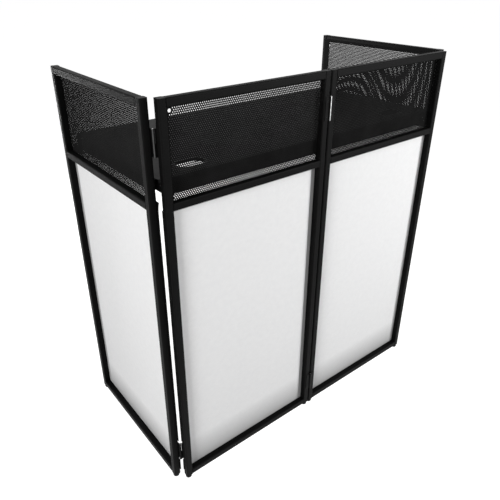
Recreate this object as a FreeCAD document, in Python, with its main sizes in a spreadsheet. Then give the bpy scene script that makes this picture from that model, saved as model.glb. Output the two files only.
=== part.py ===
import FreeCAD, Part
import math
import os
import re
import Sketcher
from FreeCAD import Placement, Rotation, Vector

# A folding booth of four equal hinged panels with a lift-off table.
# The frame stands on Z = 0, the front panels face -Y, the wings run back along +Y.

SIZES = [
    # Panel frames of square tube
    ("panel_width", 508.0),
    ("panel_height", 1143.0),
    ("tube", 20.0),
    ("tube_wall", 1.5),
    ("tube_radius", 3.5),
    ("mid_rail_rise", 886.0),
    ("cap_depth", 12.0),
    ("plug_clear", 0.15),
    # Round feet plugged into the stiles
    ("foot_height", 12.0),
    ("foot_rim", 4.0),
    ("foot_flat", 9.0),
    ("foot_spigot", 15.0),
    # Hinge lines
    ("centre_gap", 4.0),
    ("corner_clear", 5.1),
    ("pin_offset", 2.4),
    ("pin_dia", 3.0),
    ("pin_clear", 0.05),
    ("pin_proud", 0.6),
    ("knuckle_dia", 6.5),
    ("knuckle_gap", 0.4),
    ("leaf_width", 16.0),
    ("leaf_thick", 1.5),
    ("hinge_length", 64.0),
    ("hinge_inset", 65.0),
    # Perforated sheets
    ("sheet_thick", 1.0),
    ("sheet_lap", 8.0),
    ("hole_pitch", 52.0),
    ("hole_width", 33.0),
    ("hole_margin", 5.0),
    ("hang_hole_dia", 9.0),
    ("hang_hole_aside", 17.0),
    ("hang_hole_drop", 12.0),
    # Cloth scrims
    ("scrim_thick", 1.2),
    ("scrim_lap", 8.0),
    ("scrim_clear", 0.3),
    # Table
    ("table_rail_gap", 5.0),
    ("table_front_gap", 12.0),
    ("table_rear_gap", 7.5),
    ("table_side_gap", 9.5),
    ("board_thick", 9.0),
    ("board_radius", 12.0),
    ("board_edge", 1.5),
    ("rail_width", 20.0),
    ("rail_height", 36.0),
    ("rail_inset", 2.0),
    ("side_rail_start", 70.0),
    ("port_length", 85.0),
    ("port_width", 54.0),
    ("port_side_inset", 123.5),
    ("port_front_inset", 60.5),
    ("grommet_flange", 4.0),
    ("grommet_lip", 1.5),
    ("grommet_wall", 2.0),
    ("grommet_clear", 0.15),
    # Channel brackets that carry the table
    ("bracket_width", 18.0),
    ("bracket_height", 16.0),
    ("bracket_length", 46.0),
    ("bracket_wall", 2.0),
    ("bracket_seat", 0.2),
]

doc = FreeCAD.newDocument("Booth")
sizes = doc.addObject("Spreadsheet::Sheet", "Sizes")
for row, (name, number) in enumerate(SIZES, start=1):
    sizes.set(f"A{row}", name)
    sizes.set(f"B{row}", str(number))
    sizes.setAlias(f"B{row}", name)
doc.recompute()

NODES = []


def bind(formula):
    """Turns a formula of size names into an expression on the sheet."""
    return re.sub(r"[a-z]+(?:_[a-z]+)*", r"Sizes.\g<0>", formula)


def value(formula):
    return float(sizes.evalExpression(bind(formula)))


# Places that several pieces share
DEPTH = "(pin_offset + knuckle_dia / 2 + tube + pin_offset + corner_clear + panel_width)"
FRONT = f"(pin_offset + knuckle_dia / 2 - {DEPTH} / 2)"
FRONT_MIDDLE = "(centre_gap / 2 + panel_width / 2)"
PIN_SIDE = "(centre_gap / 2 + panel_width + corner_clear)"
WING_FACE = f"({PIN_SIDE} + pin_offset + tube)"
WING_MIDDLE = f"({FRONT} + tube + pin_offset + corner_clear + panel_width / 2)"
BACK_OF_SHEET = "(tube + sheet_thick)"
OPEN_WIDTH = "(panel_width - 2 * tube)"
MESH_BOTTOM = "(mid_rail_rise + tube)"
MESH_TOP = "(panel_height - tube)"
RAIL_BOTTOM = "(foot_height + mid_rail_rise + tube + table_rail_gap)"
BOARD_BOTTOM = f"({RAIL_BOTTOM} + rail_height)"
TABLE_WIDTH = f"(2 * ({WING_FACE} - {BACK_OF_SHEET} - table_side_gap))"
TABLE_DEPTH = "(pin_offset + corner_clear + panel_width - tube - table_front_gap - table_rear_gap)"
TABLE_MIDDLE = f"({FRONT} + tube + table_front_gap + {TABLE_DEPTH} / 2)"
PORT_ASIDE = f"({TABLE_WIDTH} / 2 - port_side_inset)"

X_AXIS, Y_AXIS, Z_AXIS = Vector(1, 0, 0), Vector(0, 1, 0), Vector(0, 0, 1)
FACING = {"front": Rotation(), "left": Rotation(Z_AXIS, -90), "right": Rotation(Z_AXIS, 90)}
# Each panel: the way it faces, then where the middle of its outer face stands
PANELS = {
    "front_left": ("front", f"-{FRONT_MIDDLE}", FRONT),
    "front_right": ("front", FRONT_MIDDLE, FRONT),
    "left_wing": ("left", f"-{WING_FACE}", WING_MIDDLE),
    "right_wing": ("right", WING_FACE, WING_MIDDLE),
}


def place(piece, x, y, z, rotation=Rotation()):
    """Sets a piece's rotation and binds its three coordinates."""
    piece.Placement = Placement(Vector(), rotation)
    for axis, formula in zip("xyz", (x, y, z)):
        piece.setExpression(f"Placement.Base.{axis}", bind(formula))


def place_in_panel(piece, panel, along, inward, up):
    """Places a piece by its distance along a panel, inward from its outer face, and up."""
    side, x, y = PANELS[panel]
    if side == "front":
        x, y = f"{x} + {along}", f"{y} + {inward}"
    elif side == "left":
        x, y = f"{x} + {inward}", f"{y} - ({along})"
    else:
        x, y = f"{x} - ({inward})", f"{y} + {along}"
    place(piece, x, y, f"foot_height + {up}", FACING[side])


def keep(piece, label):
    """Gives a finished piece its node name."""
    piece.Label = label
    NODES.append(piece)
    return piece


def new_body(name):
    body = doc.addObject("PartDesign::Body", name + "_body")
    body.AllowCompound = True
    return body


def origin_feature(body, role):
    return next(f for f in body.Origin.OriginFeatures if f.Role == role)


def new_sketch(body, role, lift=None):
    """Makes a sketch on an origin plane of its body, lifted along the plane's normal."""
    sketch = body.newObject("Sketcher::SketchObject", body.Name + "_sketch")
    sketch.AttachmentSupport = [(origin_feature(body, role), "")]
    sketch.MapMode = "FlatFace"
    if lift:
        sketch.setExpression("AttachmentOffset.Base.z", bind(lift))
    return sketch


def dimension(sketch, formula, *constraint):
    """Adds a dimension whose value follows the sheet."""
    index = sketch.addConstraint(Sketcher.Constraint(*constraint, value(formula)))
    sketch.setExpression(f"Constraints[{index}]", bind(formula))


def rounded_rectangle(sketch, half_x, half_y, radius):
    """Draws a rectangle with round corners about the sketch's origin."""
    a, b, r = value(half_x), value(half_y), value(radius)
    corners = [(a - r, r - b), (a - r, b - r), (r - a, b - r), (r - a, r - b)]
    starts = [(r - a, -b), (a, r - b), (a - r, b), (-a, b - r)]
    ends = [(a - r, -b), (a, b - r), (r - a, b), (-a, r - b)]
    first = sketch.GeometryCount
    for turn, (middle, start, end) in enumerate(zip(corners, starts, ends)):
        sketch.addGeometry(Part.LineSegment(Vector(*start), Vector(*end)))
        round_corner = Part.Circle(Vector(*middle), Z_AXIS, r)
        sketch.addGeometry(Part.ArcOfCircle(round_corner, (turn - 1) * math.pi / 2, turn * math.pi / 2))
    chain = [first + i for i in range(8)]
    for one, other in zip(chain, chain[1:] + chain[:1]):
        sketch.addConstraint(Sketcher.Constraint("Tangent", one, 2, other, 1))
    bottom, right, top, left = chain[0::2]
    for line in (bottom, top):
        sketch.addConstraint(Sketcher.Constraint("Horizontal", line))
    for line in (right, left):
        sketch.addConstraint(Sketcher.Constraint("Vertical", line))
    for arc in chain[3::2]:
        sketch.addConstraint(Sketcher.Constraint("Equal", chain[1], arc))
    dimension(sketch, radius, "Radius", chain[1])
    dimension(sketch, half_x, "DistanceX", -1, 1, right, 1)
    dimension(sketch, half_x, "DistanceX", left, 1, -1, 1)
    dimension(sketch, half_y, "DistanceY", -1, 1, top, 1)
    dimension(sketch, half_y, "DistanceY", bottom, 1, -1, 1)


def closed_outline(sketch, points):
    """Draws straight lines round a list of points, and gives their numbers."""
    pairs = zip(points, points[1:] + points[:1])
    lines = [sketch.addGeometry(Part.LineSegment(Vector(*one), Vector(*other))) for one, other in pairs]
    for one, other in zip(lines, lines[1:] + lines[:1]):
        sketch.addConstraint(Sketcher.Constraint("Coincident", one, 2, other, 1))
    return lines


def rectangle(sketch, half_x, half_y):
    """Draws a rectangle about the sketch's origin."""
    a, b = value(half_x), value(half_y)
    bottom, right, top, left = closed_outline(sketch, [(-a, -b), (a, -b), (a, b), (-a, b)])
    for line in (bottom, top):
        sketch.addConstraint(Sketcher.Constraint("Horizontal", line))
    for line in (right, left):
        sketch.addConstraint(Sketcher.Constraint("Vertical", line))
    dimension(sketch, half_x, "DistanceX", -1, 1, right, 1)
    dimension(sketch, half_x, "DistanceX", left, 1, -1, 1)
    dimension(sketch, half_y, "DistanceY", -1, 1, top, 1)
    dimension(sketch, half_y, "DistanceY", bottom, 1, -1, 1)


def circle(sketch, diameter):
    """Draws a circle about the sketch's origin."""
    index = sketch.addGeometry(Part.Circle(Vector(), Z_AXIS, value(diameter) / 2))
    sketch.addConstraint(Sketcher.Constraint("Coincident", index, 3, -1, 1))
    dimension(sketch, diameter, "Diameter", index)


def oblong(sketch, length, width, x="0", y="0"):
    """Draws a shape with round ends along X, with its middle at signed distances from the origin."""
    radius = value(width) / 2
    left_end, right_end = f"{x} - ({length} - ({width})) / 2", f"{x} + ({length} - ({width})) / 2"
    left, right, middle = value(left_end), value(right_end), value(y)
    below, above = middle - radius, middle + radius
    front = sketch.addGeometry(Part.LineSegment(Vector(left, below), Vector(right, below)))
    round_right = Part.Circle(Vector(right, middle), Z_AXIS, radius)
    right_arc = sketch.addGeometry(Part.ArcOfCircle(round_right, -math.pi / 2, math.pi / 2))
    back = sketch.addGeometry(Part.LineSegment(Vector(right, above), Vector(left, above)))
    round_left = Part.Circle(Vector(left, middle), Z_AXIS, radius)
    left_arc = sketch.addGeometry(Part.ArcOfCircle(round_left, math.pi / 2, 3 * math.pi / 2))
    chain = [front, right_arc, back, left_arc]
    for one, other in zip(chain, chain[1:] + chain[:1]):
        sketch.addConstraint(Sketcher.Constraint("Tangent", one, 2, other, 1))
    dimension(sketch, f"({width}) / 2", "Radius", right_arc)
    for arc, end in ((left_arc, left_end), (right_arc, right_end)):
        dimension(sketch, end, "DistanceX", -1, 1, arc, 3)
        if y == "0":
            sketch.addConstraint(Sketcher.Constraint("PointOnObject", arc, 3, -1))
        else:
            dimension(sketch, y, "DistanceY", -1, 1, arc, 3)


def pad(body, sketch, length, reverse=False):
    feature = body.newObject("PartDesign::Pad", body.Name + "_pad")
    feature.Profile = sketch
    feature.setExpression("Length", bind(length))
    feature.Reversed = reverse
    return feature


def repeat(body, features, role, spacing):
    """Repeats features once more at a spacing along an origin axis."""
    pattern = body.newObject("PartDesign::LinearPattern", body.Name + "_pair")
    pattern.Originals = features
    pattern.Direction = (origin_feature(body, role), [""])
    pattern.setExpression("Length", bind(spacing))
    pattern.Occurrences = 2
    body.Tip = pattern


def square_tube(name, role, length, half_x="tube / 2", half_y="tube / 2"):
    """A hollow tube along Z or X, with its axis on the body's origin."""
    body = new_body(name)
    sketch = new_sketch(body, role)
    rounded_rectangle(sketch, half_x, half_y, "tube_radius")
    rectangle(sketch, f"{half_x} - tube_wall", f"{half_y} - tube_wall")
    pad(body, sketch, length)
    return body


def stiles_and_rails(panel):
    stile_middle = "(panel_width / 2 - tube / 2)"
    for side, along in (("left", f"-{stile_middle}"), ("right", stile_middle)):
        label = f"{panel}_{side}_stile"
        stile = keep(square_tube(label, "XY_Plane", "panel_height"), label)
        place_in_panel(stile, panel, along, "tube / 2", "0")
    heights = {"top": "panel_height - tube / 2", "mid": "mid_rail_rise + tube / 2", "bottom": "tube / 2"}
    for level, up in heights.items():
        label = f"{panel}_{level}_rail"
        rail = keep(square_tube(label, "YZ_Plane", OPEN_WIDTH), label)
        place_in_panel(rail, panel, f"-{OPEN_WIDTH} / 2", "tube / 2", up)


def stile_plug(body, depth, reverse):
    """Pads a square plug that fits into a stile."""
    sketch = new_sketch(body, "XY_Plane")
    half = "tube / 2 - tube_wall - plug_clear"
    rectangle(sketch, half, half)
    return pad(body, sketch, depth, reverse)


def stile_caps(panel):
    """Square plugs that close the tops of the stiles, flush with them."""
    body = new_body(f"{panel}_caps")
    repeat(body, [stile_plug(body, "cap_depth", True)], "X_Axis", "panel_width - tube")
    caps = keep(body, f"{panel}_caps")
    place_in_panel(caps, panel, "-(panel_width / 2 - tube / 2)", "tube / 2", "panel_height")


def foot_profile(sketch):
    """Half section of a foot: a rim under the stile, drawn in to a flat to stand on."""
    rim, flat = value("tube / 2"), value("foot_flat / 2")
    drop, edge = value("foot_height"), value("foot_rim")
    points = [(0, -drop), (flat, -drop), (rim, -edge), (rim, 0), (0, 0)]
    floor, taper, side, top, axis = closed_outline(sketch, points)
    for line in (floor, top):
        sketch.addConstraint(Sketcher.Constraint("Horizontal", line))
    sketch.addConstraint(Sketcher.Constraint("Vertical", side))
    sketch.addConstraint(Sketcher.Constraint("Coincident", axis, 1, -1, 1))
    sketch.addConstraint(Sketcher.Constraint("PointOnObject", axis, 2, -2))
    dimension(sketch, "foot_flat / 2", "DistanceX", -1, 1, taper, 1)
    dimension(sketch, "tube / 2", "DistanceX", -1, 1, side, 1)
    dimension(sketch, "foot_height", "DistanceY", floor, 1, -1, 1)
    dimension(sketch, "foot_rim", "DistanceY", side, 1, -1, 1)


def feet(panel):
    """Two round feet that stand under the stiles of a panel, plugged into them."""
    body = new_body(f"{panel}_feet")
    sketch = new_sketch(body, "XZ_Plane")
    foot_profile(sketch)
    turned = body.newObject("PartDesign::Revolution", body.Name + "_turned")
    turned.Profile = sketch
    turned.ReferenceAxis = (sketch, ["V_Axis"])
    turned.Angle = 360
    repeat(body, [turned, stile_plug(body, "foot_spigot", False)], "X_Axis", "panel_width - tube")
    plugs = keep(body, f"{panel}_feet")
    place_in_panel(plugs, panel, "-(panel_width / 2 - tube / 2)", "tube / 2", "0")


def hexagon(x, z, width):
    """A six-sided hole, flats up and down, of a given width across flats."""
    reach = width / math.sqrt(3)
    turns = [math.radians(60 * step) for step in range(7)]
    return Part.makePolygon([Vector(x + reach * math.cos(t), 0, z + reach * math.sin(t)) for t in turns])


def perforated_face(hang_side):
    """One face with staggered rows of holes in the frame's opening, and a hanging hole in a corner."""
    open_width, open_height = value(OPEN_WIDTH), value(f"{MESH_TOP} - {MESH_BOTTOM}")
    lap, pitch, hole, margin = (value(n) for n in ("sheet_lap", "hole_pitch", "hole_width", "hole_margin"))
    half, base, top = open_width / 2 + lap, -lap, open_height + lap
    corners = [(-half, base), (half, base), (half, top), (-half, top), (-half, base)]
    wires = [Part.makePolygon([Vector(x, 0, z) for x, z in corners])]
    aside, drop = value("hang_hole_aside"), value("hang_hole_drop")
    hang = Vector(hang_side * (open_width / 2 - aside), 0, open_height - drop)
    hang_radius = value("hang_hole_dia") / 2
    step = pitch * math.sqrt(3) / 2
    reach = hole / math.sqrt(3)
    rows = int((open_height - 2 * margin - hole) / step) + 1
    for row in range(rows):
        z = open_height / 2 + (row - (rows - 1) / 2) * step
        across = int((open_width - 2 * margin - 2 * reach - (row % 2) * pitch) / pitch) + 1
        for column in range(across):
            x = (column - (across - 1) / 2) * pitch
            if math.hypot(x - hang.x, z - hang.z) > reach + hang_radius + margin:
                wires.append(hexagon(x, z, hole))
    wires.append(hexagon(hang.x, hang.z, 2 * hang_radius))
    return Part.makeFace(wires, "Part::FaceMakerBullseye")


def perforated_sheet(panel, hang_side):
    """A perforated steel sheet welded behind the upper opening of a panel."""
    sheet = doc.addObject("Part::Feature", f"{panel}_mesh_sheet")
    sheet.Shape = perforated_face(hang_side).extrude(Vector(0, value("sheet_thick"), 0))
    keep(sheet, f"{panel}_mesh")
    place_in_panel(sheet, panel, "0", "tube", MESH_BOTTOM)


def new_box(name, length, width, height, x="0", y="0", z="0"):
    box = doc.addObject("Part::Box", name)
    for side, formula in (("Length", length), ("Width", width), ("Height", height)):
        box.setExpression(side, bind(formula))
    place(box, x, y, z)
    return box


def new_cylinder(name, diameter, height, z="0"):
    cylinder = doc.addObject("Part::Cylinder", name)
    cylinder.setExpression("Radius", bind(f"({diameter}) / 2"))
    cylinder.setExpression("Height", bind(height))
    place(cylinder, "0", "0", z)
    return cylinder


def scrim(panel):
    """A stretched cloth panel on the back of the lower opening."""
    width = f"({OPEN_WIDTH} + 2 * scrim_lap)"
    height = "mid_rail_rise - tube + 2 * scrim_lap"
    cloth = keep(new_box(f"{panel}_scrim_cloth", width, "scrim_thick", height), f"{panel}_scrim")
    place_in_panel(cloth, panel, f"-{width} / 2", "tube + scrim_clear", "tube - scrim_lap")


# Hinges: the pin is on Z, a leaf runs along +X and lies against a face at +Y
KNUCKLE_LENGTH = "((hinge_length - knuckle_gap) / 2)"
PLATE_START = "(knuckle_dia / 2 + knuckle_gap)"
UPPER_HINGE = "(panel_height / 2 - hinge_inset - hinge_length)"
LOWER_HINGE = "(hinge_inset - panel_height / 2)"
HINGE_MIDDLE = "foot_height + panel_height / 2"


def leaf(name, knuckle_end, start):
    """One hinge leaf: a plate, a knuckle and its web at one end, and the bore for the pin."""
    offset = "pin_offset - leaf_thick"
    plate = new_box(f"{name}_plate", f"leaf_width - {PLATE_START}", "leaf_thick", "hinge_length",
                    PLATE_START, offset, start)
    z = f"{start} + {KNUCKLE_LENGTH} + knuckle_gap" if knuckle_end == "top" else start
    knuckle = new_cylinder(f"{name}_knuckle", "knuckle_dia", KNUCKLE_LENGTH, z)
    web = new_box(f"{name}_web", PLATE_START, "leaf_thick", KNUCKLE_LENGTH, "0", offset, z)
    joined = doc.addObject("Part::MultiFuse", f"{name}_joined")
    joined.Shapes = [plate, knuckle, web]
    joined.Refine = True
    bored = doc.addObject("Part::Cut", f"{name}_bored")
    bored.Base = joined
    bored.Tool = new_cylinder(f"{name}_bore", "pin_dia + 2 * pin_clear", "hinge_length", start)
    return bored


def leaf_pair(label, knuckle_end, rotation, x, y):
    """The upper and lower leaf of one side of a hinge line, where its own rotation puts them."""
    pair = doc.addObject("Part::Compound", f"{label}_pair")
    upside_down = rotation.multVec(Z_AXIS).z < 0
    local_end = {"top": "bottom", "bottom": "top"}[knuckle_end] if upside_down else knuckle_end
    pair.Links = [leaf(f"{label}_{level}", local_end, start) for level, start in
                  (("upper", UPPER_HINGE), ("lower", LOWER_HINGE))]
    place(keep(pair, label), x, y, HINGE_MIDDLE, rotation)


def hinge_line(name, x, y, fixed_turn, moving_turn):
    """Two lift-off hinges: the moving leaves' knuckles stand on the fixed ones, over the pins."""
    leaf_pair(f"{name}_fixed_leaves", "bottom", fixed_turn, x, y)
    leaf_pair(f"{name}_moving_leaves", "top", moving_turn, x, y)
    body = new_body(f"{name}_pins")
    sketch = new_sketch(body, "XY_Plane", f"{LOWER_HINGE} - pin_proud")
    circle(sketch, "pin_dia")
    pin = pad(body, sketch, "hinge_length + 2 * pin_proud")
    repeat(body, [pin], "Z_Axis", f"{UPPER_HINGE} - {LOWER_HINGE}")
    place(keep(body, f"{name}_pins"), x, y, HINGE_MIDDLE)


def hinges():
    """The centre line is on the front faces, the corner lines on the faces inside."""
    corner = f"{FRONT} + tube + pin_offset"
    swap_sides = Rotation(X_AXIS + Y_AXIS, 180)
    hinge_line("centre_hinge", "0", f"{FRONT} - pin_offset", Rotation(Y_AXIS, 180), Rotation())
    hinge_line("left_hinge", f"-{PIN_SIDE}", corner, Rotation(X_AXIS, 180), Rotation(Z_AXIS, 90))
    hinge_line("right_hinge", PIN_SIDE, corner, Rotation(Z_AXIS, 180), swap_sides)


def port_outlines(sketch, wider):
    """Draws an outline at each of the board's cable ports, wider than the port by an amount all round."""
    for sign in ("-", ""):
        oblong(sketch, f"port_length + 2 * {wider}", f"port_width + 2 * {wider}",
               f"{sign}{PORT_ASIDE}", f"port_front_inset - {TABLE_DEPTH} / 2")


def table_board():
    """The table's board, with round corners, an eased top edge and two recessed cable ports."""
    body = new_body("table_board")
    sketch = new_sketch(body, "XY_Plane")
    rounded_rectangle(sketch, f"{TABLE_WIDTH} / 2", f"{TABLE_DEPTH} / 2", "board_radius")
    port_outlines(sketch, "0")
    slab = pad(body, sketch, "board_thick")
    doc.recompute()
    top_face = max(slab.Shape.Faces, key=lambda face: face.CenterOfMass.z)
    rim = top_face.OuterWire.Edges
    eased = body.newObject("PartDesign::Chamfer", "table_board_eased")
    eased.Base = (slab, [f"Edge{number}" for number, edge in enumerate(slab.Shape.Edges, start=1)
                         if any(edge.isSame(part) for part in rim)])
    eased.setExpression("Size", bind("board_edge"))
    seats = new_sketch(body, "XY_Plane", "board_thick")
    port_outlines(seats, "(grommet_flange + grommet_clear)")
    recess = body.newObject("PartDesign::Pocket", "table_board_recess")
    recess.Profile = seats
    recess.setExpression("Length", bind("grommet_lip"))
    body.Tip = recess
    doc.recompute()
    if recess.Shape.Volume >= eased.Shape.Volume:
        raise RuntimeError("the recesses for the grommets cut nothing from the board")
    place(keep(body, "table_board"), "0", TABLE_MIDDLE, BOARD_BOTTOM)


def table_rails():
    """Four tubes under the board's edges: two across, and two that run forward from the back corners."""
    half_x, half_y = "rail_width / 2", "rail_height / 2"
    up = f"{RAIL_BOTTOM} + rail_height / 2"
    long_rail = f"({TABLE_WIDTH} - 2 * (rail_inset + rail_width))"
    short_rail = f"({TABLE_DEPTH} - side_rail_start - rail_inset)"
    across = f"({TABLE_DEPTH} / 2 - rail_inset - rail_width / 2)"
    aside = f"({TABLE_WIDTH} / 2 - rail_inset - rail_width / 2)"
    for side, sign in (("front", "-"), ("rear", "+")):
        label = f"table_{side}_rail"
        rail = keep(square_tube(label, "YZ_Plane", long_rail, half_x, half_y), label)
        place(rail, f"-{long_rail} / 2", f"{TABLE_MIDDLE} {sign} {across}", up)
    for side, sign in (("left", "-"), ("right", "")):
        label = f"table_{side}_rail"
        rail = keep(square_tube(label, "YZ_Plane", short_rail, half_x, half_y), label)
        start = f"{TABLE_MIDDLE} - {TABLE_DEPTH} / 2 + side_rail_start"
        place(rail, f"{sign}{aside}", start, up, Rotation(Z_AXIS, 90))


def grommets():
    """Flanged sleeves that line the cable ports, flush with the board."""
    body = new_body("table_grommets")
    outer = [f"{size} - 2 * grommet_clear" for size in ("port_length", "port_width")]
    inner = [f"{size} - 2 * grommet_wall" for size in outer]
    rim = [f"{size} + 2 * grommet_flange" for size in ("port_length", "port_width")]
    sleeve = new_sketch(body, "XY_Plane")
    oblong(sleeve, *outer)
    oblong(sleeve, *inner)
    flange = new_sketch(body, "XY_Plane")
    oblong(flange, *rim)
    oblong(flange, *inner)
    ring = [pad(body, sleeve, "board_thick - grommet_lip", reverse=True), pad(body, flange, "grommet_lip")]
    repeat(body, ring, "X_Axis", f"2 * {PORT_ASIDE}")
    middle = f"{TABLE_MIDDLE} - {TABLE_DEPTH} / 2 + port_front_inset"
    seat = f"{BOARD_BOTTOM} + board_thick - grommet_lip"
    place(keep(body, "table_grommets"), f"-{PORT_ASIDE}", middle, seat)


def bracket(label):
    """An inverted channel along +Y, with its top middle edge on the origin."""
    block = new_box(f"{label}_block", "bracket_width", "bracket_length", "bracket_height",
                    "-bracket_width / 2", "0", "-bracket_height")
    clear_width, clear_height = "(bracket_width - 2 * bracket_wall)", "bracket_height - bracket_wall"
    hollow = new_box(f"{label}_hollow", clear_width, "bracket_length", clear_height,
                     f"-{clear_width} / 2", "0", "-bracket_height")
    channel = doc.addObject("Part::Cut", f"{label}_channel")
    channel.Base = block
    channel.Tool = hollow
    return keep(channel, label)


def brackets():
    """Table supports: the board's on the front's end stiles, the rails' on the wings' back stiles."""
    stile = "(panel_width / 2 - tube / 2)"
    for panel, end_stile in (("front_left", f"-{stile}"), ("front_right", stile)):
        end = bracket(f"{panel}_end_bracket")
        place_in_panel(end, panel, end_stile, BACK_OF_SHEET, f"{BOARD_BOTTOM} - foot_height - bracket_seat")
    for side, sign in (("left", "-"), ("right", "")):
        arm = bracket(f"{side}_wing_bracket")
        inward = f"{WING_FACE} - {BACK_OF_SHEET} - bracket_width / 2"
        place(arm, f"{sign}({inward})", f"{WING_MIDDLE} + panel_width / 2 - bracket_length",
              f"{RAIL_BOTTOM} - bracket_seat")


for panel, hang_side in (("front_left", -1), ("front_right", -1), ("left_wing", 1), ("right_wing", 1)):
    stiles_and_rails(panel)
    stile_caps(panel)
    feet(panel)
    perforated_sheet(panel, hang_side)
    scrim(panel)
hinges()
table_board()
table_rails()
grommets()
brackets()
doc.recompute()

for item in doc.Objects:
    if "Invalid" in item.State or "Error" in item.State:
        raise RuntimeError(f"{item.Label} did not build: {item.State}")
for node in NODES:
    if node.Shape.isNull() or not node.Shape.isValid() or not node.Shape.Solids:
        raise RuntimeError(f"{node.Label} has no valid solid")

os.makedirs("parts", exist_ok=True)
for node in NODES:
    node.Shape.exportStep(f"parts/{node.Label}.step")
print(len(NODES), "nodes written")
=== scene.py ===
import math

import bpy
from mathutils import Matrix, Vector
from mathutils.kdtree import KDTree


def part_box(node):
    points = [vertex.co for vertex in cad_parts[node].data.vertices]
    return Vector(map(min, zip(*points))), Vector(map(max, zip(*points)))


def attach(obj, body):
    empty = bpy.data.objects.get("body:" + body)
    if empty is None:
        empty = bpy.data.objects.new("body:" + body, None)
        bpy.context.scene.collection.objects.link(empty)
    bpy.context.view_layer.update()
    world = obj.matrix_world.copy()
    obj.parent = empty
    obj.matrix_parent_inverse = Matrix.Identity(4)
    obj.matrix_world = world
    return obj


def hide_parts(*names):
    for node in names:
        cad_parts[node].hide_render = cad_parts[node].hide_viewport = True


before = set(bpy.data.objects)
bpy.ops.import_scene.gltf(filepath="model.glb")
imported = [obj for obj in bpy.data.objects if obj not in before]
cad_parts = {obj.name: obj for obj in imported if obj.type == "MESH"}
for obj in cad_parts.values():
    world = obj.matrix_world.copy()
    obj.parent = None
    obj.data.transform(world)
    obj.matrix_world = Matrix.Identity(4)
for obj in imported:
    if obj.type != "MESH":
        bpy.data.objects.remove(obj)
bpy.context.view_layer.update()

MM = 0.001

# The booth's four panels, and how far each is turned from facing the front, in degrees
FACING = {"front_left": 0, "front_right": 0, "left_wing": -90, "right_wing": 90}
# The upper corner that holds each sheet's hanging hole, along the panel's own width
HANG_SIDE = {"front_left": -1, "front_right": -1, "left_wing": 1, "right_wing": 1}
FRAME_TUBES = ("left_stile", "right_stile", "top_rail", "mid_rail", "bottom_rail")

# Where the photograph was taken from, in metres and degrees, and through what lens
CAMERA_PLACE = Vector((-1.02976, -1.21200, 1.39591))
CAMERA_HEADING = -37.688
CAMERA_DIP = 27.911
CAMERA_ROLL = -0.359
SENSOR_WIDTH = 36.0
PICTURE_WIDTH = 500
FOCAL_IN_PIXELS = 520.67
MIDDLE_IN_PIXELS = (241.1, 240.0)

# Perforated sheets: a hole's reach runs from its centre to its corners
HOLE_PITCH = 5.5 * MM
HOLE_REACH = 1.53 * MM
HOLES_BEHIND_TUBES = 6.5 * MM
HANG_HOLE_REACH = 4.6 * MM
HANG_HOLE_ASIDE = 17 * MM
HANG_HOLE_DROP = 12 * MM
CLEAR_OF_HANG_HOLE = 1.3 * HOLE_PITCH
PLAIN_EDGE = 13 * MM
SHEET_THICKNESS = 0.85 * MM

# Scrims
SCRIM_COLUMNS = 51
SCRIM_ROWS = 93
HEM_COLUMNS = 2
STITCH_WIDTH = 2 * MM
# How light the hems look: the tape behind them greys each hem, and the sides of two scrims are also darker
# with painted shade from their stiles
END_HEM = 0.74
SIDE_HEM_AND_SHADE = {"front_left": 0.36, "front_right": 0.78, "left_wing": 0.36, "right_wing": 0.78}
# The cloth is painted darker towards its lower edge, as shade over the bottom rail; the painted shade fades
# out between these heights above that edge
PAINTED_SHADE_FROM = 10 * MM
PAINTED_SHADE_TO = 110 * MM
PAINTED_SHADE_GREY = 0.44
CLOTH_DARK = (0.80, 0.80, 0.805, 1)
CLOTH_LIGHT = (0.87, 0.87, 0.87, 1)
THREADS_PER_METRE = 1100.0
KNIT_DEPTH = 0.06 * MM
CLOTH_THICKNESS = 0.45 * MM
HEM_THICKNESS = 0.35 * MM
# How far the cloth swells backward, the share of that which its ripples add, how many run each way,
# and how far each set leans over the other way, in radians
SCRIM_SWELL = 0.25 * MM
RIPPLE_SHARE = 0.3
RIPPLES_ACROSS = 9
RIPPLES_UP = 7
ACROSS_LEAN = 5
UP_LEAN = 2

# Hook tape on the backs of the stiles, in runs that stay clear of the lower hinges
# and of the table's brackets
TAPE_WIDTH = 11.6 * MM
TAPE_THICKNESS = 2.1 * MM
TAPE_OFF_STILE = 0.05 * MM
TAPE_INSET = 5.9 * MM
TAPE_PROUD = 1 * MM
TAPE_LIFT = 3 * MM
TAPE_LIFTED = 26 * MM
TAPE_STEP = 8 * MM
TAPE_RUNS = ((14 * MM, 58 * MM), (136 * MM, 886 * MM))
TAPE_LOOSE_END = 20 * MM
# The side of a wing's drawing that is at its corner hinge, where the tape has worked loose
LOOSE_SIDE = {"left_wing": 1, "right_wing": -1}

# Hinges and their screws
HINGE_HALF = 32.6 * MM
LEAF_SCREW_RISE = 20 * MM
LEAF_SCREW_OUT = 10.2 * MM
PIN_OFF_LEAF = 0.9 * MM
SCREW_WIDTH = 6.4 * MM
SCREW_CROWN = 0.7 * MM
SCREW_RECESS = 0.9 * MM
SCREW_TAPER = 0.8
RECESS_HALF = 0.1 * SCREW_WIDTH
RECESS_REACH = 0.3 * SCREW_WIDTH
KNUCKLE_REACH = 3.35 * MM
LEAF_PEEL_DEPTH = 0.02 * MM
PIN_STREAK_DEPTH = 0.01 * MM
# Each leaf: its hinge line and panel, the way it runs from the pin, and the way its screws face
LEAVES = (
    ("centre_hinge", "front_left", (-1, 0, 0), (0, -1, 0)),
    ("centre_hinge", "front_right", (1, 0, 0), (0, -1, 0)),
    ("left_hinge", "front_left", (1, 0, 0), (0, 1, 0)),
    ("left_hinge", "left_wing", (0, 1, 0), (1, 0, 0)),
    ("right_hinge", "front_right", (-1, 0, 0), (0, 1, 0)),
    ("right_hinge", "right_wing", (0, 1, 0), (-1, 0, 0)),
)
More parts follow.
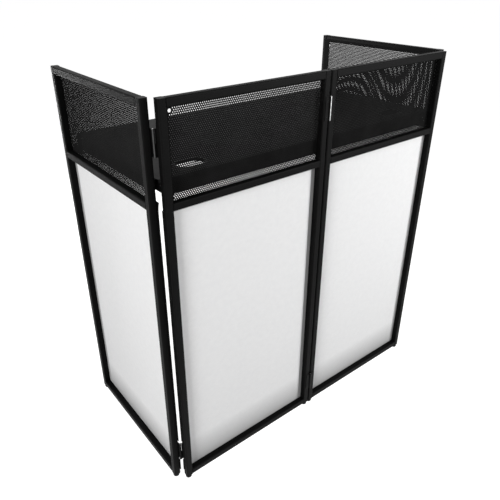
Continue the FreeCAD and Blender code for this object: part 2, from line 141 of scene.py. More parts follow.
# The side of each hinge line whose knuckle crest carries a painted highlight of bright plating, and how
# strong it is there
HIGHLIGHT_SIDE = {"centre_hinge": (0, -1, 0), "left_hinge": (-0.6, -0.8, 0), "right_hinge": (0.6, -0.8, 0)}
HIGHLIGHT_STRENGTH = {"centre_hinge": 1.0, "left_hinge": 0.12, "right_hinge": 0.12}
# The painted highlight is strongest on the crest of a knuckle, and sets in over a height above the line's
# middle
CREST_FROM = 0.78 * KNUCKLE_REACH
CREST_TO = 0.94 * KNUCKLE_REACH
KNUCKLE_EDGE = 0.3 * MM
HIGHLIGHT_FADE = 10 * MM

# What handling marks add to a finish's roughness
DULLED_BY_MARKS = 0.12

# Studio
FLOOR_WIDTH = 70
FLOOR_DARK = 0.38
FLOOR_LIGHT = 0.41
FLOOR_GLOW = 0.97
SKY_LIGHT = 0.08
LIGHTS_AIM = (0, 0, 0.65)

# Feet
FOOT_SIDES = 40
FOOT_ROUND = 5.6 * MM
FOOT_EASE = 0.7 * MM


def low_of(node, axis):
    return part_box(node)[0][axis]


def high_of(node, axis):
    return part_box(node)[1][axis]


FRAME_LOW = low_of("front_left_bottom_rail", 2)
TUBE = high_of("front_left_bottom_rail", 2) - FRAME_LOW
OPENING_HALF = (high_of("front_left_mid_rail", 0) - low_of("front_left_mid_rail", 0)) / 2
SHEET_OPENING = (high_of("front_left_mid_rail", 2) - FRAME_LOW, low_of("front_left_top_rail", 2) - FRAME_LOW)
PIERCED_HALF = OPENING_HALF + HOLES_BEHIND_TUBES
PIERCED_LOW, PIERCED_HIGH = SHEET_OPENING[0] - HOLES_BEHIND_TUBES, SHEET_OPENING[1] + HOLES_BEHIND_TUBES


def panel_place(panel):
    """Takes a piece drawn facing the front, on the middle of a panel's foot line, to that panel."""
    turn = Matrix.Rotation(math.radians(FACING[panel]), 4, "Z")
    lows, highs = zip(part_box(f"{panel}_left_stile"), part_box(f"{panel}_right_stile"))
    low = Vector(map(min, *lows))
    high = Vector(map(max, *highs))
    outward = turn @ Vector((0, -1, 0))
    face = (low + high) / 2 + outward * TUBE / 2
    return Matrix.Translation((face.x, face.y, low.z)) @ turn


def drawn_box(node, panel):
    """A panel node's box in the drawing of that panel."""
    back = panel_place(panel).inverted()
    first, last = (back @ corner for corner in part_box(node))
    return Vector(map(min, first, last)), Vector(map(max, first, last))


# Modelling


def deselect_all():
    bpy.ops.object.select_all(action="DESELECT")


def started(name):
    """Names the primitive that was just added, and puts its size and place into its mesh."""
    piece = bpy.context.object
    piece.name = name
    piece.data.name = name
    bpy.ops.object.transform_apply(location=True, rotation=True, scale=True)
    return piece


def pick(piece, kind, wanted):
    """Selects, in edit mode, the vertices, edges or faces of a piece that pass a test."""
    bpy.ops.object.mode_set(mode="EDIT")
    bpy.ops.mesh.select_mode(type=kind)
    bpy.ops.mesh.select_all(action="DESELECT")
    bpy.ops.object.mode_set(mode="OBJECT")
    mesh = piece.data
    for element in {"VERT": mesh.vertices, "EDGE": mesh.edges, "FACE": mesh.polygons}[kind]:
        element.select = wanted(element)
    bpy.ops.object.mode_set(mode="EDIT")


def shaped():
    """Leaves edit mode."""
    bpy.ops.object.mode_set(mode="OBJECT")


def apply_modifier(piece, kind, **settings):
    modifier = piece.modifiers.new(kind.title(), kind)
    for name, value in settings.items():
        setattr(modifier, name, value)
    bpy.ops.object.modifier_apply(modifier=modifier.name)


def copy_of(model, name, place):
    """A copy of a modelled piece, with a mesh of its own, set in its place."""
    piece = model.copy()
    piece.data = model.data.copy()
    piece.name = name
    piece.data.name = name
    bpy.context.collection.objects.link(piece)
    piece.data.transform(place)
    return piece


def joined(name, copies):
    """Makes one piece of several copies."""
    deselect_all()
    for piece in copies:
        piece.select_set(True)
    bpy.context.view_layer.objects.active = copies[0]
    bpy.ops.object.join()
    copies[0].name = name
    copies[0].data.name = name
    return copies[0]


def settle(piece, body, slot, finish, *nodes):
    """Gives a piece its material and its body, and hides the nodes that it stands for."""
    piece.data.materials.clear()
    piece.data.materials.append(finish)
    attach(piece, body)
    if nodes:
        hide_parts(*nodes)


# Material nodes


def add(tree, kind, sockets=None, **settings):
    """Adds a node, with its settings, and its sockets set or linked by name or number."""
    node = tree.nodes.new(kind)
    for name, value in settings.items():
        setattr(node, name, value)
    for name, value in (sockets or {}).items():
        if isinstance(value, bpy.types.NodeSocket):
            tree.links.new(value, node.inputs[name])
        else:
            node.inputs[name].default_value = value
    return node


def new_group(name, inputs, outputs):
    """A shader node group with named sockets: its tree, its inputs and its outputs."""
    tree = bpy.data.node_groups.new(name, "ShaderNodeTree")
    for label, value in inputs.items():
        kind = "NodeSocketFloat"
        if isinstance(value, tuple):
            kind = "NodeSocketVector" if len(value) == 3 else "NodeSocketColor"
        tree.interface.new_socket(label, in_out="INPUT", socket_type=kind).default_value = value
    for label, kind in outputs.items():
        tree.interface.new_socket(label, in_out="OUTPUT", socket_type=f"NodeSocket{kind}")
    return tree, tree.nodes.new("NodeGroupInput").outputs, tree.nodes.new("NodeGroupOutput").inputs


def mixed(tree, factor, first, second):
    """A colour between two others. The sockets go by number, because a Mix node names several alike."""
    node = add(tree, "ShaderNodeMix", data_type="RGBA")
    for number, value in ((0, factor), (6, first), (7, second)):
        if isinstance(value, bpy.types.NodeSocket):
            tree.links.new(value, node.inputs[number])
        else:
            node.inputs[number].default_value = value
    return node.outputs[2]


def ranged(tree, value, low, high, to_low=0.0, to_high=1.0):
    """A value moved from one range to another, held at its ends."""
    node = add(tree, "ShaderNodeMapRange",
               {"Value": value, "From Min": low, "From Max": high, "To Min": to_low, "To Max": to_high})
    return node.outputs["Result"]


def sum_of(tree, first, second, operation="ADD"):
    """Two values added, or joined by another operation."""
    return add(tree, "ShaderNodeMath", {0: first, 1: second}, operation=operation).outputs[0]


def vector_sum(tree, first, second, operation):
    """Two vectors joined by an operation."""
    return add(tree, "ShaderNodeVectorMath", {0: first, 1: second}, operation=operation).outputs[0]


def coat_group():
    """Baked powder coat: a fine orange-peel skin over slow changes of tone and gloss."""
    tree, given, made = new_group(
        "Powder Coat",
        {"Vector": (0.0, 0.0, 0.0), "Grain": 900.0, "Dark": (0, 0, 0, 1), "Light": (0, 0, 0, 1),
         "Smooth": 0.4, "Rough": 0.5},
        {"Color": "Color", "Roughness": "Float", "Height": "Float"})
    peel = add(tree, "ShaderNodeTexNoise",
               {"Vector": given["Vector"], "Scale": given["Grain"], "Detail": 3.0, "Roughness": 0.55})
    drift = add(tree, "ShaderNodeTexNoise",
                {"Vector": given["Vector"], "Scale": 14.0, "Detail": 5.0, "Roughness": 0.6})
    speck = add(tree, "ShaderNodeTexVoronoi", {"Vector": given["Vector"], "Scale": 420.0})
    fleck = ranged(tree, speck.outputs["Distance"], 0.05, 0.22, 1.0, 0.0)
    tone = sum_of(tree, ranged(tree, drift.outputs["Fac"], 0.3, 0.7), sum_of(tree, fleck, 0.35, "MULTIPLY"))
    tree.links.new(mixed(tree, tone, given["Dark"], given["Light"]), made["Color"])
    gloss = sum_of(tree, drift.outputs["Fac"], peel.outputs["Fac"])
    rough = add(tree, "ShaderNodeMapRange", {"Value": gloss, "From Min": 0.7, "From Max": 1.3,
                                             "To Min": given["Smooth"], "To Max": given["Rough"]})
    tree.links.new(rough.outputs["Result"], made["Roughness"])
    tree.links.new(peel.outputs["Fac"], made["Height"])
    return tree


def handling_group():
    """Faint rub marks and settled dust, as a mask."""
    tree, given, made = new_group(
        "Handling Marks",
        {"Vector": (0.0, 0.0, 0.0), "Stretch": (1.0, 1.0, 1.0), "Reach": 0.62},
        {"Mask": "Float"})
    drawn_out = vector_sum(tree, given["Vector"], given["Stretch"], "MULTIPLY")
    rubs = add(tree, "ShaderNodeTexNoise",
               {"Vector": drawn_out, "Scale": 120.0, "Detail": 6.0, "Roughness": 0.7})
    patches = add(tree, "ShaderNodeTexNoise", {"Vector": given["Vector"], "Scale": 7.0, "Detail": 3.0})
    both = sum_of(tree, rubs.outputs["Fac"], patches.outputs["Fac"], "MULTIPLY")
    squared = sum_of(tree, given["Reach"], given["Reach"], "MULTIPLY")
    over = sum_of(tree, both, squared, "SUBTRACT")
    tree.links.new(ranged(tree, over, 0.0, 0.12), made["Mask"])
    return tree


def weave_group():
    """A fine two-way knit: raised threads, and the shade between them."""
    tree, given, made = new_group(
        "Stretch Knit",
        {"Vector": (0.0, 0.0, 0.0), "Threads": 1400.0},
        {"Height": "Float", "Shade": "Float"})
    turns = sum_of(tree, given["Threads"], 2 * math.pi, "MULTIPLY")
    split = add(tree, "ShaderNodeSeparateXYZ", {"Vector": given["Vector"]})
    ribs = []
    for axis in ("X", "Y"):
        along = sum_of(tree, split.outputs[axis], turns, "MULTIPLY")
        ribs.append(add(tree, "ShaderNodeMath", {0: along}, operation="SINE").outputs[0])
    threads = sum_of(tree, ribs[0], ribs[1], "MULTIPLY")
    slub = add(tree, "ShaderNodeTexNoise",
               {"Vector": given["Vector"], "Scale": 60.0, "Detail": 4.0, "Roughness": 0.6})
    tree.links.new(sum_of(tree, threads, slub.outputs["Fac"]), made["Height"])
    shade = sum_of(tree, sum_of(tree, threads, 0.25, "MULTIPLY"), slub.outputs["Fac"])
    tree.links.new(ranged(tree, shade, 0.1, 0.9), made["Shade"])
    return tree


def zinc_group():
    """Drawn, zinc-plated steel: fine lengthwise streaks with duller patches."""
    tree, given, made = new_group(
        "Plated Steel",
        {"Vector": (0.0, 0.0, 0.0)},
        {"Color": "Color", "Roughness": "Float", "Height": "Float"})
    drawn_out = vector_sum(tree, given["Vector"], (1.0, 1.0, 0.04), "MULTIPLY")
    streaks = add(tree, "ShaderNodeTexNoise", {"Vector": drawn_out, "Scale": 2600.0, "Detail": 3.0})
    bloom = add(tree, "ShaderNodeTexNoise", {"Vector": given["Vector"], "Scale": 260.0, "Detail": 4.0})
    dull, bright = (0.50, 0.51, 0.52, 1), (0.74, 0.74, 0.73, 1)
    tree.links.new(mixed(tree, bloom.outputs["Fac"], dull, bright), made["Color"])
    gloss = sum_of(tree, streaks.outputs["Fac"], bloom.outputs["Fac"])
    tree.links.new(ranged(tree, gloss, 0.7, 1.3, 0.22, 0.42), made["Roughness"])
    tree.links.new(streaks.outputs["Fac"], made["Height"])
    return tree


POWDER_COAT = coat_group()
HANDLING = handling_group()
STRETCH_KNIT = weave_group()
PLATED_STEEL = zinc_group()


def new_material(name):
    """A material's tree, its Principled shader and the Object coordinates."""
    material = bpy.data.materials.new(name)
    material.use_nodes = True
    tree = material.node_tree
    shader = tree.nodes["Principled BSDF"]
    place = tree.nodes.new("ShaderNodeTexCoord").outputs["Object"]
    return material, tree, shader, place


def set_sockets(shader, **values):
    for name, value in values.items():
        shader.inputs[name.replace("_", " ")].default_value = value


def bump(tree, shader, height, depth):
    relief = add(tree, "ShaderNodeBump", {"Height": height, "Distance": depth, "Strength": 1.0})
    tree.links.new(relief.outputs["Normal"], shader.inputs["Normal"])


def grey(value):
    return (value, value, value, 1)


def coat_node(tree, place, greys, roughness, grain):
    """The powder coat group, with its darkest and lightest grey and its smoothest and roughest finish."""
    dark, light = greys
    smooth, rough = roughness
    sockets = {"Vector": place, "Dark": grey(dark), "Light": grey(light),
               "Smooth": smooth, "Rough": rough, "Grain": grain}
    return add(tree, "ShaderNodeGroup", sockets, node_tree=POWDER_COAT)


def coated(name, greys, roughness, grain, depth, specular, stretch, reach, dust):
    """A powder-coated or moulded finish with handling marks over it."""
    material, tree, shader, place = new_material(name)
    coat = coat_node(tree, place, greys, roughness, grain)
    marks = add(tree, "ShaderNodeGroup", {"Vector": place, "Stretch": stretch, "Reach": reach},
                node_tree=HANDLING)
    colour = mixed(tree, marks.outputs["Mask"], coat.outputs["Color"], grey(dust))
    tree.links.new(colour, shader.inputs["Base Color"])
    dulling = sum_of(tree, marks.outputs["Mask"], DULLED_BY_MARKS, "MULTIPLY")
    tree.links.new(sum_of(tree, dulling, coat.outputs["Roughness"]), shader.inputs["Roughness"])
    bump(tree, shader, coat.outputs["Height"], depth)
    set_sockets(shader, Specular_IOR_Level=specular)
    return material


def scrim_finish(name, side_hem_and_shade):
    """White two-way stretch cloth with a stitched hem that the tape behind it greys, and painted shade low
    down and at some side hems.
    """
    material, tree, shader, _ = new_material(name)
    laid = add(tree, "ShaderNodeUVMap", uv_map="UVMap").outputs["UV"]
    knit = add(tree, "ShaderNodeGroup", {"Vector": laid, "Threads": THREADS_PER_METRE},
               node_tree=STRETCH_KNIT)
    colour = mixed(tree, knit.outputs["Shade"], CLOTH_DARK, CLOTH_LIGHT)
    low, high = drawn_box("front_left_scrim", "front_left")
    hem = HEM_COLUMNS * (high.x - low.x) / SCRIM_COLUMNS
    split = add(tree, "ShaderNodeSeparateXYZ", {"Vector": laid})
    # The side hems of two scrims carry painted shade from their stiles as well as the tape's grey
    for axis, length, shade in (("X", high.x - low.x, side_hem_and_shade), ("Y", high.z - low.z, END_HEM)):
        from_end = sum_of(tree, length, split.outputs[axis], "SUBTRACT")
        from_edge = sum_of(tree, split.outputs[axis], from_end, "MINIMUM")
        on_hem = ranged(tree, from_edge, hem - STITCH_WIDTH, hem, 1.0, 0.0)
        colour = mixed(tree, on_hem, colour, grey(shade))
        off_stitch = sum_of(tree, from_edge, hem - STITCH_WIDTH / 2, "SUBTRACT")
        off_stitch = add(tree, "ShaderNodeMath", {0: off_stitch}, operation="ABSOLUTE").outputs[0]
        stitched = ranged(tree, off_stitch, 0.0, STITCH_WIDTH / 2, 1.0, 0.0)
        colour = mixed(tree, stitched, colour, grey(shade / 2))
    # Painted shade: the cloth darkens towards its lower edge, where the bottom rail shades it
    painted_low_shade = ranged(tree, split.outputs["Y"], PAINTED_SHADE_FROM, PAINTED_SHADE_TO, 1.0, 0.0)
    colour = mixed(tree, painted_low_shade, colour, grey(PAINTED_SHADE_GREY))
    tree.links.new(colour, shader.inputs["Base Color"])
    tree.links.new(ranged(tree, knit.outputs["Shade"], 0.0, 1.0, 0.92, 0.78), shader.inputs["Roughness"])
    bump(tree, shader, knit.outputs["Height"], KNIT_DEPTH)
    set_sockets(shader, Specular_IOR_Level=0.2, Sheen_Weight=0.15, Sheen_Roughness=0.5)
    return material


def hinge_finish(line):
    """Black leaves whose upper knuckles carry a painted highlight: bright plating in a narrow strip along
    their outward crest.
    """
    material, tree, shader, place = new_material(f"{line}_leaf_steel")
    low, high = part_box(f"{line}_pins")
    pin = (low + high) / 2
    coat = coat_node(tree, place, greys=(0.002, 0.006), roughness=(0.34, 0.46), grain=1100.0)
    zinc = add(tree, "ShaderNodeGroup", {"Vector": place}, node_tree=PLATED_STEEL)
    from_pin = vector_sum(tree, place, pin, "SUBTRACT")
    level = vector_sum(tree, from_pin, (1.0, 1.0, 0.0), "MULTIPLY")
    away = add(tree, "ShaderNodeVectorMath", {0: level}, operation="LENGTH").outputs["Value"]
    on_knuckle = ranged(tree, away, KNUCKLE_REACH, KNUCKLE_REACH + KNUCKLE_EDGE, 1.0, 0.0)
    proud = add(tree, "ShaderNodeVectorMath", {0: level, 1: HIGHLIGHT_SIDE[line]}, operation="DOT_PRODUCT")
    on_crest = ranged(tree, proud.outputs["Value"], CREST_FROM, CREST_TO)
    height = add(tree, "ShaderNodeSeparateXYZ", {"Vector": place}).outputs["Z"]
    upper = ranged(tree, height, pin.z, pin.z + HIGHLIGHT_FADE, 0.0, HIGHLIGHT_STRENGTH[line])
    # Painted highlight: bright plating only on the outward crest of the upper knuckles, strongest on the
    # centre line
    painted_highlight = sum_of(tree, sum_of(tree, on_knuckle, on_crest, "MULTIPLY"), upper, "MULTIPLY")
    colour = mixed(tree, painted_highlight, coat.outputs["Color"], zinc.outputs["Color"])
    tree.links.new(colour, shader.inputs["Base Color"])
    tree.links.new(painted_highlight, shader.inputs["Metallic"])
    difference = sum_of(tree, zinc.outputs["Roughness"], coat.outputs["Roughness"], "SUBTRACT")
    change = sum_of(tree, difference, painted_highlight, "MULTIPLY")
    tree.links.new(sum_of(tree, change, coat.outputs["Roughness"]), shader.inputs["Roughness"])
    bump(tree, shader, coat.outputs["Height"], LEAF_PEEL_DEPTH)
    set_sockets(shader, Specular_IOR_Level=0.05)
    return material


def pin_finish():
    """Bright plated steel."""
    material, tree, shader, place = new_material("bright_pin_steel")
    zinc = add(tree, "ShaderNodeGroup", {"Vector": place}, node_tree=PLATED_STEEL)
    tree.links.new(zinc.outputs["Color"], shader.inputs["Base Color"])
    tree.links.new(zinc.outputs["Roughness"], shader.inputs["Roughness"])
    bump(tree, shader, zinc.outputs["Height"], PIN_STREAK_DEPTH)
    set_sockets(shader, Metallic=1.0)
    return material


def tube_finish():
    return coated("black_tube_coat", greys=(0.0012, 0.0028), roughness=(0.44, 0.58), grain=800.0,
                  depth=0.04 * MM, specular=0.05, stretch=(1.0, 1.0, 0.25), reach=0.60, dust=0.008)


def sheet_finish():
    return coated("black_sheet_coat", greys=(0.008, 0.013), roughness=(0.62, 0.74), grain=1100.0,
                  depth=0.03 * MM, specular=0.008, stretch=(1.0, 1.0, 1.0), reach=0.62, dust=0.009)


def laminate_finish():
    return coated("black_table_laminate", greys=(0.007, 0.012), roughness=(0.44, 0.56), grain=520.0,
                  depth=0.05 * MM, specular=0.07, stretch=(0.3, 1.0, 1.0), reach=0.56, dust=0.022)


def moulded_finish(name, greys, roughness):
    return coated(name, greys, roughness, grain=1500.0,
                  depth=0.02 * MM, specular=0.10, stretch=(1.0, 1.0, 1.0), reach=0.58, dust=0.025)


def paint_nodes(names, finish):
    """Gives carried-over nodes their finish."""
    for name in names:
        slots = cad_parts[name].data.materials
        slots.clear()
        slots.append(finish)


# Perforated sheets


def centre_tree(points):
    """A search tree of points."""
    tree = KDTree(len(points))
    for number, point in enumerate(points):
        tree.insert(point, number)
    tree.balance()
    return tree


def pierced_sheet(hang_side):
    """A steel sheet pierced by close staggered holes, with one hanging hole and a plain edge beside it."""
    columns = round(2 * PIERCED_HALF / HOLE_PITCH)
    rows = round((PIERCED_HIGH - PIERCED_LOW) / (HOLE_PITCH * math.sqrt(3) / 2))
    step, rise = 2 * PIERCED_HALF / columns, (PIERCED_HIGH - PIERCED_LOW) / rows
    margin, at_centre = step / 8, step / 20
    middle = Vector((0, TUBE, (PIERCED_LOW + PIERCED_HIGH) / 2))
    deselect_all()
    bpy.ops.mesh.primitive_grid_add(x_subdivisions=columns, y_subdivisions=rows, size=1, location=middle,
                                    rotation=(math.pi / 2, 0, 0))
    bpy.context.object.scale = (2 * PIERCED_HALF, PIERCED_HIGH - PIERCED_LOW, 1)
    sheet = started("pierced_sheet")

    def inside(vertex):
        level = PIERCED_LOW + rise / 2 < vertex.co.z < PIERCED_HIGH - rise / 2
        return level and abs(vertex.co.x) < PIERCED_HALF - margin

    for odd, shift in ((0, -hang_side * step / 4), (1, hang_side * step / 4)):
        pick(sheet, "VERT", lambda v: inside(v) and round((v.co.z - PIERCED_LOW) / rise) % 2 == odd)
        bpy.ops.transform.translate(value=(shift, 0, 0))
    bpy.ops.mesh.select_all(action="SELECT")
    bpy.ops.mesh.quads_convert_to_tris(quad_method="SHORTEST_DIAGONAL")
    shaped()

    centres = [v.co.copy() for v in sheet.data.vertices if inside(v)]
    hang = Vector((hang_side * (OPENING_HALF - HANG_HOLE_ASIDE), TUBE, SHEET_OPENING[1] - HANG_HOLE_DROP))
    hang_centre = min(centres, key=lambda c: (c - hang).length)
    kept = [c for c in centres if (c - hang_centre).length > CLEAR_OF_HANG_HOLE
            and hang_side * c.x < OPENING_HALF - PLAIN_EDGE]
    for group, reach in ((kept, HOLE_REACH), ([hang_centre], HANG_HOLE_REACH)):
        tree = centre_tree(group)
        pick(sheet, "VERT", lambda v: tree.find(v.co)[2] < at_centre)
        bpy.ops.mesh.bevel(offset=reach, offset_type="ABSOLUTE", segments=1, affect="VERTICES",
                           clamp_overlap=False)
        shaped()
    tree = centre_tree(kept + [hang_centre])
    pick(sheet, "FACE", lambda f: tree.find(f.center)[2] < margin)
    bpy.ops.mesh.delete(type="FACE")
    lap_sheet(sheet, middle)
    apply_modifier(sheet, "SOLIDIFY", thickness=SHEET_THICKNESS, offset=-1)
    return sheet


def lap_sheet(sheet, middle):
    """Carries the sheet's plain edge out past the holes."""
    near = HOLE_PITCH / 20

    def on_edge(edge):
        ends = [sheet.data.vertices[i].co for i in edge.vertices]
        sides = [all(abs(abs(e.x) - PIERCED_HALF) < near for e in ends)]
        sides += [all(abs(e.z - level) < near for e in ends) for level in (PIERCED_LOW, PIERCED_HIGH)]
        return any(sides)

    pick(sheet, "EDGE", on_edge)
    sheet_low, sheet_high = drawn_box("front_left_mesh", "front_left")
    widen = (sheet_high.x - sheet_low.x) / (2 * PIERCED_HALF)
    heighten = (sheet_high.z - sheet_low.z) / (PIERCED_HIGH - PIERCED_LOW)
    bpy.ops.mesh.extrude_edges_move(TRANSFORM_OT_translate={"value": (0, 0, 0)})
    bpy.ops.transform.resize(value=(widen, 1, heighten), center_override=middle)
    shaped()


def perforated_sheets(finish):
    models = {side: pierced_sheet(side) for side in (-1, 1)}
    for panel, side in HANG_SIDE.items():
        sheet = copy_of(models[side], f"{panel}_perforated_sheet", panel_place(panel))
        settle(sheet, f"{panel}_panel", "mesh_paint", finish, f"{panel}_mesh")
    for model in models.values():
        bpy.data.objects.remove(model)


# Scrims


def stretch_scrim():
    """A stretched cloth with a turned hem, drawn on the back of the panel's lower opening."""
    low, high = drawn_box("front_left_scrim", "front_left")
    deselect_all()
    bpy.ops.mesh.primitive_grid_add(x_subdivisions=SCRIM_COLUMNS, y_subdivisions=SCRIM_ROWS, size=1,
                                    location=(0, low.y, (low.z + high.z) / 2), rotation=(math.pi / 2, 0, 0))
    bpy.context.object.scale = (high.x - low.x, high.z - low.z, 1)
    cloth = started("stretch_scrim")
    for corner in cloth.data.uv_layers["UVMap"].data:
        corner.uv = (corner.uv.x * (high.x - low.x), corner.uv.y * (high.z - low.z))
    for vertex in cloth.data.vertices:
        across = (vertex.co.x - low.x) / (high.x - low.x)
        up = (vertex.co.z - low.z) / (high.z - low.z)
        slack = math.sin(math.pi * across) * math.sin(math.pi * up)
        ripple = math.sin(RIPPLES_ACROSS * math.pi * across + ACROSS_LEAN * up)
        ripple *= math.sin(RIPPLES_UP * math.pi * up - UP_LEAN * across)
        vertex.co.y += SCRIM_SWELL * (slack + RIPPLE_SHARE * slack * ripple)
    apply_modifier(cloth, "SOLIDIFY", thickness=CLOTH_THICKNESS, offset=-1)
    cell = Vector(((high.x - low.x) / SCRIM_COLUMNS, 0, (high.z - low.z) / SCRIM_ROWS))

    def on_hem(face):
        aside = min(face.center.x - low.x, high.x - face.center.x)
        level = min(face.center.z - low.z, high.z - face.center.z)
        return face.normal.y > 0.5 and (aside < HEM_COLUMNS * cell.x or level < HEM_COLUMNS * cell.z)

    pick(cloth, "FACE", on_hem)
    bpy.ops.mesh.extrude_region_move(TRANSFORM_OT_translate={"value": (0, HEM_THICKNESS, 0)})
    shaped()
    bpy.ops.object.shade_smooth_by_angle(angle=math.radians(30))
    return cloth, (high.x - low.x, high.z - low.z)


def scrims():
    model, flat = stretch_scrim()
    finishes = {shade: scrim_finish(f"white_stretch_cloth_{number}", shade)
                for number, shade in enumerate(sorted(set(SIDE_HEM_AND_SHADE.values())))}
    for panel, shade in SIDE_HEM_AND_SHADE.items():
        cloth = copy_of(model, f"{panel}_stretch_scrim", panel_place(panel))
        settle(cloth, f"{panel}_panel", "scrim_cloth", finishes[shade], f"{panel}_scrim")
    bpy.data.objects.remove(model)


# Hook tape


def tape_strip(low, high, lift):
    """A strip of hook tape for the back of a stile, with its upper end lifting off."""
    deselect_all()
    bpy.ops.mesh.primitive_grid_add(x_subdivisions=2, y_subdivisions=round((high - low) / TAPE_STEP), size=1,
                                    location=(0, TUBE + TAPE_OFF_STILE, (low + high) / 2),
                                    rotation=(math.pi / 2, 0, 0))
    bpy.context.object.scale = (TAPE_WIDTH, high - low, 1)
    strip = started("tape_strip")
    for vertex in strip.data.vertices:
        loose = max(0.0, 1 - (high - vertex.co.z) / TAPE_LIFTED)
        vertex.co.y += lift * loose ** 2
    apply_modifier(strip, "SOLIDIFY", thickness=TAPE_THICKNESS, offset=-1)
    apply_modifier(strip, "BEVEL", width=TAPE_THICKNESS / 4, segments=2)
    return strip


def hook_tape(finish):
    """Tape along both stiles of each panel, proud of a wing's corner stile and with a loose end there."""
    short, long = TAPE_RUNS
    models = [tape_strip(*short, 0.0), tape_strip(*long, 0.0),
              tape_strip(long[0], long[1] + TAPE_LOOSE_END, TAPE_LIFT)]
    for panel in FACING:
        copies = []
        for side in (-1, 1):
            loose = side == LOOSE_SIDE.get(panel)
            aside = OPENING_HALF + TUBE - TAPE_INSET + (TAPE_PROUD if loose else 0)
            place = panel_place(panel) @ Matrix.Translation((side * aside, 0, 0))
            copies += [copy_of(strip, "tape_run", place) for strip in (models[0], models[2 if loose else 1])]
        settle(joined(f"{panel}_hook_tape", copies), f"{panel}_panel", "cap_plastic", finish)
    for model in models:
        bpy.data.objects.remove(model)


# Feet


def domed_foot():
    """A moulded foot on the origin: a round shoulder under the tube, eased to a flat tread."""
    foot_height = FRAME_LOW - low_of("front_left_feet", 2)
    deselect_all()
    bpy.ops.mesh.primitive_cylinder_add(vertices=FOOT_SIDES, radius=TUBE / 2 - FOOT_EASE / 2,
                                        depth=foot_height, location=(0, 0, foot_height / 2))
    foot = started("domed_foot")
    pick(foot, "FACE", lambda f: f.normal.z < -0.5)
    bpy.ops.mesh.bevel(offset=FOOT_ROUND, segments=7, profile=0.5, affect="EDGES")
    shaped()
    pick(foot, "FACE", lambda f: f.normal.z > 0.5)
    bpy.ops.mesh.bevel(offset=FOOT_EASE, segments=2, affect="EDGES")
    shaped()
    pick(foot, "FACE", lambda f: f.normal.z < -0.99 and f.center.z < FOOT_EASE)
    bpy.ops.mesh.inset(thickness=FOOT_EASE, depth=0)
    bpy.ops.mesh.inset(thickness=FOOT_EASE, depth=-FOOT_EASE)
    shaped()
    bpy.ops.object.shade_smooth_by_angle(angle=math.radians(35))
    return foot


def feet(finish):
    model = domed_foot()
    for panel in FACING:
        copies = []
        for stile in ("left_stile", "right_stile"):
            low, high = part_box(f"{panel}_{stile}")
            under = Matrix.Translation(((low.x + high.x) / 2, (low.y + high.y) / 2, 0))
            copies.append(copy_of(model, f"{panel}_{stile}_foot", under))
        pair = joined(f"{panel}_domed_feet", copies)
        settle(pair, f"{panel}_panel", "foot_plastic", finish, f"{panel}_feet")
    bpy.data.objects.remove(model)


# Hinge screws


def cross_screw():
    """A low screw head with a cross recess, facing up from the origin."""
    deselect_all()
    bpy.ops.mesh.primitive_grid_add(x_subdivisions=5, y_subdivisions=5, size=SCREW_WIDTH)
    screw = started("cross_screw")
    pick(screw, "VERT", lambda v: max(abs(v.co.x), abs(v.co.y)) > 0.45 * SCREW_WIDTH)
    bpy.ops.transform.tosphere(value=1)
    shaped()
    width = max(v.co.x for v in screw.data.vertices) * 2
    pick(screw, "VERT", lambda v: True)
    bpy.ops.transform.resize(value=(SCREW_WIDTH / width, SCREW_WIDTH / width, 1), center_override=(0, 0, 0))
    bpy.ops.transform.translate(value=(0, 0, SCREW_CROWN))
    shaped()

    def on_rim(vertex):
        return vertex.co.xy.length > 0.47 * SCREW_WIDTH

    pick(screw, "EDGE", lambda e: all(on_rim(screw.data.vertices[i]) for i in e.vertices))
    bpy.ops.mesh.extrude_edges_move(TRANSFORM_OT_translate={"value": (0, 0, -SCREW_CROWN)})
    shaped()
    pick(screw, "VERT", lambda v: v.co.z > 0.99 * SCREW_CROWN and on_rim(v))
    bpy.ops.transform.resize(value=(SCREW_TAPER, SCREW_TAPER, 1), center_override=(0, 0, 0))
    shaped()

    def on_cross(face):
        near, far = sorted((abs(face.center.x), abs(face.center.y)))
        return face.normal.z > 0.9 and near < RECESS_HALF and far < RECESS_REACH

    pick(screw, "FACE", on_cross)
    bpy.ops.mesh.extrude_region_move(TRANSFORM_OT_translate={"value": (0, 0, -SCREW_RECESS)})
    bpy.ops.transform.resize(value=(SCREW_TAPER, SCREW_TAPER, 1), center_override=(0, 0, 0))
    bpy.ops.mesh.select_all(action="SELECT")
    bpy.ops.mesh.normals_make_consistent(inside=False)
    shaped()
    return screw


def hinge_screws(finish):
    """Two screws in each leaf of the upper and the lower hinges."""
    model = cross_screw()
    for line, panel, along, facing in LEAVES:
        along, facing = Vector(along), Vector(facing)
        turn = Matrix((along, facing.cross(along), facing)).transposed().to_4x4()
        low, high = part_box(f"{line}_pins")
        pin = (low + high) / 2
        copies = []
        for hinge_middle in (low.z + HINGE_HALF, high.z - HINGE_HALF):
            for rise in (-LEAF_SCREW_RISE, LEAF_SCREW_RISE):
                seat = Vector((pin.x, pin.y, hinge_middle + rise))
                seat += along * LEAF_SCREW_OUT - facing * PIN_OFF_LEAF
                copies.append(copy_of(model, "leaf_screw", Matrix.Translation(seat) @ turn))
        settle(joined(f"{line}_{panel}_screws", copies), f"{panel}_panel", "hinge_steel", finish)
    bpy.data.objects.remove(model)


# Studio


def background_rays(tree):
    """One for rays that see the background or its reflection, nought for those that only light things."""
    path = add(tree, "ShaderNodeLightPath").outputs
    seen = sum_of(tree, path["Is Camera Ray"], path["Is Glossy Ray"], "MAXIMUM")
    return sum_of(tree, seen, path["Is Transmission Ray"], "MAXIMUM")


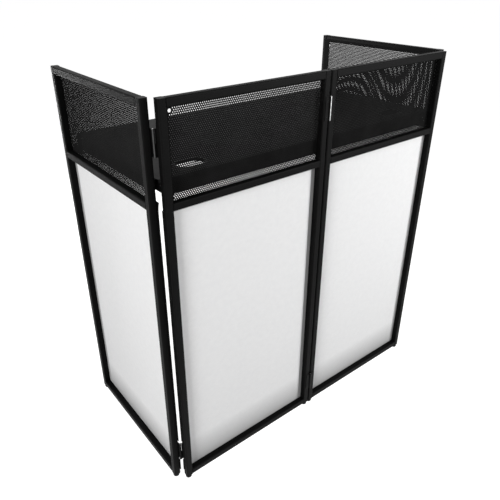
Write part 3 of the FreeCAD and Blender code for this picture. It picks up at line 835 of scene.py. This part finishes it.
def studio_floor():
    """A plain floor that shows as white to the camera and still takes the booth's shadow."""
    bpy.ops.mesh.primitive_plane_add(size=FLOOR_WIDTH)
    floor = started("studio_floor")
    material, tree, shader, place = new_material("pale_floor")
    grain = add(tree, "ShaderNodeTexNoise", {"Vector": place, "Scale": 3.0, "Detail": 2.0})
    colour = mixed(tree, grain.outputs["Fac"], grey(FLOOR_DARK), grey(FLOOR_LIGHT))
    tree.links.new(colour, shader.inputs["Base Color"])
    glow = sum_of(tree, background_rays(tree), FLOOR_GLOW, "MULTIPLY")
    tree.links.new(glow, shader.inputs["Emission Strength"])
    set_sockets(shader, Roughness=0.9, Specular_IOR_Level=0.0, Emission_Color=(1, 1, 1, 1))
    floor.data.materials.append(material)


def soft_box(name, place, width, watts):
    """A square studio light aimed at the booth."""
    lamp = bpy.data.lights.new(name, "AREA")
    lamp.size = width
    lamp.energy = watts
    box = bpy.data.objects.new(name, lamp)
    bpy.context.collection.objects.link(box)
    box.location = place
    box.rotation_euler = (Vector(LIGHTS_AIM) - Vector(place)).to_track_quat("-Z", "Y").to_euler()


def studio_light():
    soft_box("left_key", place=(-3.9, -0.1, 2.9), width=0.4, watts=34)
    soft_box("left_wall", place=(-3.0, -1.45, 1.8), width=1.2, watts=74)
    soft_box("front_right_panel", place=(1.4, -2.2, 1.4), width=0.9, watts=49)
    soft_box("rear_panel", place=(-0.4, 2.4, 0.75), width=0.8, watts=52)
    world = bpy.data.worlds.new("studio")
    bpy.context.scene.world = world
    world.use_nodes = True
    tree = world.node_tree
    strength = ranged(tree, background_rays(tree), 0.0, 1.0, SKY_LIGHT, 1.0)
    background = tree.nodes["Background"]
    background.inputs["Color"].default_value = (1, 1, 1, 1)
    tree.links.new(strength, background.inputs["Strength"])


def photo_camera():
    lens = bpy.data.cameras.new("photo_camera")
    lens.sensor_width = SENSOR_WIDTH
    lens.lens = SENSOR_WIDTH * FOCAL_IN_PIXELS / PICTURE_WIDTH
    lens.shift_x = 0.5 - MIDDLE_IN_PIXELS[0] / PICTURE_WIDTH
    lens.shift_y = MIDDLE_IN_PIXELS[1] / PICTURE_WIDTH - 0.5
    camera = bpy.data.objects.new("photo_camera", lens)
    bpy.context.collection.objects.link(camera)
    heading = Matrix.Rotation(math.radians(CAMERA_HEADING), 3, "Z")
    dip = Matrix.Rotation(math.radians(90 - CAMERA_DIP), 3, "X")
    roll = Matrix.Rotation(math.radians(CAMERA_ROLL), 3, "Z")
    camera.location = CAMERA_PLACE
    camera.rotation_euler = (heading @ dip @ roll).to_euler()
    bpy.context.scene.camera = camera


def main():
    tube = tube_finish()
    plastic = moulded_finish("black_foot_plastic", greys=(0.010, 0.018), roughness=(0.45, 0.6))
    grommet = moulded_finish("black_grommet_plastic", greys=(0.002, 0.004), roughness=(0.26, 0.40))
    tape = moulded_finish("black_hook_tape", greys=(0.004, 0.010), roughness=(0.7, 0.85))
    screw = moulded_finish("black_screw_coat", greys=(0.004, 0.008), roughness=(0.30, 0.42))
    paint_nodes([f"{panel}_{part}" for panel in FACING for part in FRAME_TUBES], tube)
    paint_nodes([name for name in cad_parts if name.startswith("table_")], tube)
    paint_nodes([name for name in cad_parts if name.endswith("_bracket")], tube)
    paint_nodes([f"{panel}_caps" for panel in FACING], plastic)
    paint_nodes(["table_board"], laminate_finish())
    paint_nodes(["table_grommets"], grommet)
    pin = pin_finish()
    for line in ("centre_hinge", "left_hinge", "right_hinge"):
        paint_nodes([f"{line}_fixed_leaves", f"{line}_moving_leaves"], hinge_finish(line))
        paint_nodes([f"{line}_pins"], pin)
    perforated_sheets(sheet_finish())
    scrims()
    hook_tape(tape)
    feet(plastic)
    hinge_screws(screw)
    studio_floor()
    studio_light()
    photo_camera()
    bpy.context.scene.view_settings.view_transform = "Standard"


main()
